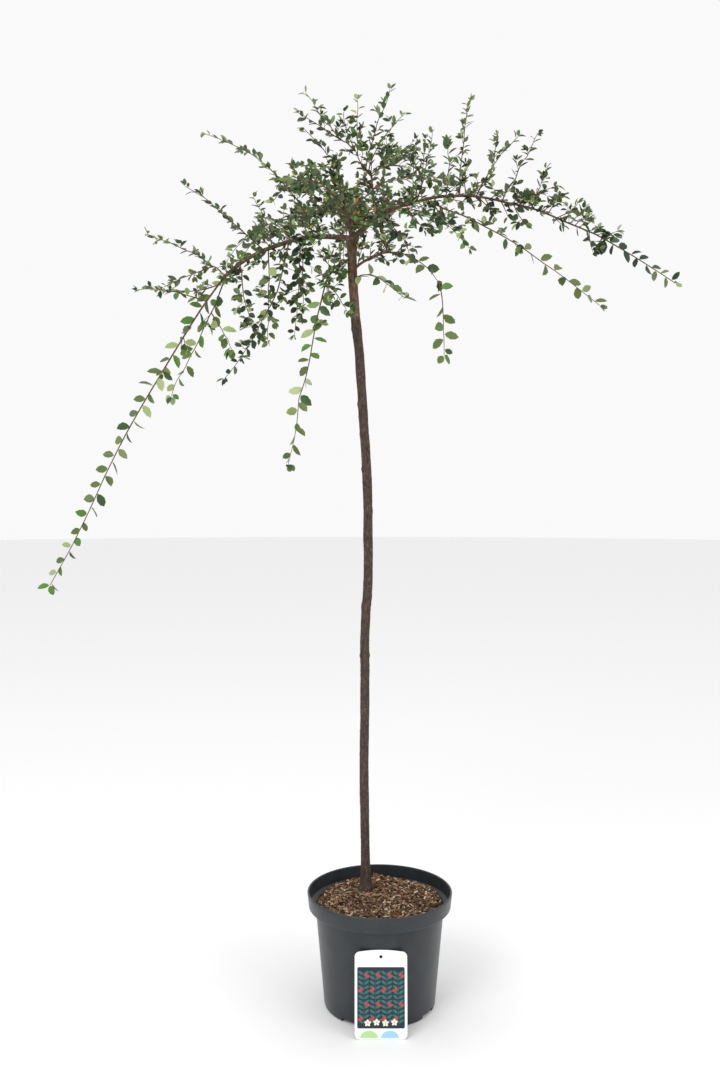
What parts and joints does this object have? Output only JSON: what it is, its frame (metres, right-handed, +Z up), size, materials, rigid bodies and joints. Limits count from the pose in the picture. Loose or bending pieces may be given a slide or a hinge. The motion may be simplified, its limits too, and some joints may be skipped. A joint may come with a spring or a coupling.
{
  "type": "potted weeping cotoneaster",
  "caption": "Small weeping cotoneaster grafted on a slim bare stem, with long arching leafy shoots, in a dark round nursery pot with bark mulch and a picture label leaning on it",
  "frame": {"origin": "centre of the pot's flat underside, at floor level", "axes": "+Z up along the stem, -Y the front with the label, +X to the right seen from the front"},
  "size_m": [0.856, 0.5838, 1.3196],
  "materials": {
    "pot_plastic": "satin",
    "mulch": "rough loose bark chips",
    "bark": "rough bark",
    "leaves": "satin leaf",
    "label_card": "gloss"
  },
  "bodies": {
    "root": {"bough_back": "bark", "bough_front": "bark", "bough_left": "bark", "bough_right": "bark", "bough_up": "bark", "leaves_arm_left_1": "leaves", "leaves_arm_left_2": "leaves", "leaves_arm_right_1": "leaves", "leaves_arm_right_2": "leaves", "leaves_arm_right_3": "leaves", "leaves_arm_right_4": "leaves", "leaves_back_a": "leaves", "leaves_back_b": "leaves", "leaves_back_c": "leaves", "leaves_front_a": "leaves", "leaves_front_b": "leaves", "leaves_front_c": "leaves", "leaves_front_d": "leaves", "leaves_hang_m_1": "leaves", "leaves_hang_m_2": "leaves", "leaves_hang_s": "leaves", "leaves_hang_s_low": "leaves", "leaves_hang_v": "leaves", "leaves_hang_w": "leaves", "leaves_hang_x": "leaves", "leaves_inner_right": "leaves", "leaves_leader": "leaves", "leaves_leader_top": "leaves", "leaves_low_inner_right": "leaves", "leaves_low_left": "leaves", "leaves_low_right_1": "leaves", "leaves_low_right_2": "leaves", "leaves_middle": "leaves", "leaves_side_c": "leaves", "leaves_side_d": "leaves", "leaves_side_e": "leaves", "leaves_side_f": "leaves", "leaves_side_g": "leaves", "leaves_side_h": "leaves", "leaves_side_r": "leaves", "leaves_top_a": "leaves", "leaves_top_b": "leaves", "leaves_top_c": "leaves", "leaves_top_o": "leaves", "leaves_top_p": "leaves", "leaves_top_q": "leaves", "leaves_up_2": "leaves", "leaves_up_4": "leaves", "leaves_up_5": "leaves", "leaves_up_6": "leaves", "leaves_up_left": "leaves", "leaves_weep_left_1": "leaves", "leaves_weep_left_2": "leaves", "leaves_weep_left_3": "leaves", "leaves_weep_mid": "leaves", "plant_label": "label_card", "pot": "pot_plastic", "soil": "mulch", "stem": "bark"}
  },
  "joints": []
}
